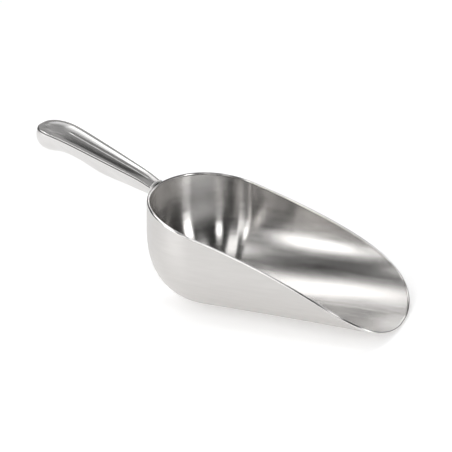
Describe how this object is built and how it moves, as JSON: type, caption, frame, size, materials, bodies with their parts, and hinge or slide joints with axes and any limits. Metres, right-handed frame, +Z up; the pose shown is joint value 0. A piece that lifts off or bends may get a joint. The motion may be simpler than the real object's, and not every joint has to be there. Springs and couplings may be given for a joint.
{
  "type": "ice scoop",
  "caption": "Round-backed pressed metal bowl with a slanted open mouth and a hollow handle, for scooping ice or dry goods.",
  "frame": {"origin": "centre of the whole scoop's footprint box, on the surface that it stands on", "axes": "+X from the handle's tip towards the lip, +Z up, X-Z the plane of symmetry"},
  "size_m": [0.2568, 0.1188, 0.1066],
  "materials": {
    "bowl_steel": "satin outside, semi-polished inside, bright polished rim",
    "handle_steel": "polished with a fine lengthwise satin grain",
    "weld_steel": "ground and brushed weld"
  },
  "bodies": {
    "root": {"bowl": "bowl_steel", "handle_top": "handle_steel", "handle_base": "handle_steel", "root_weld": "weld_steel"}
  },
  "joints": []
}
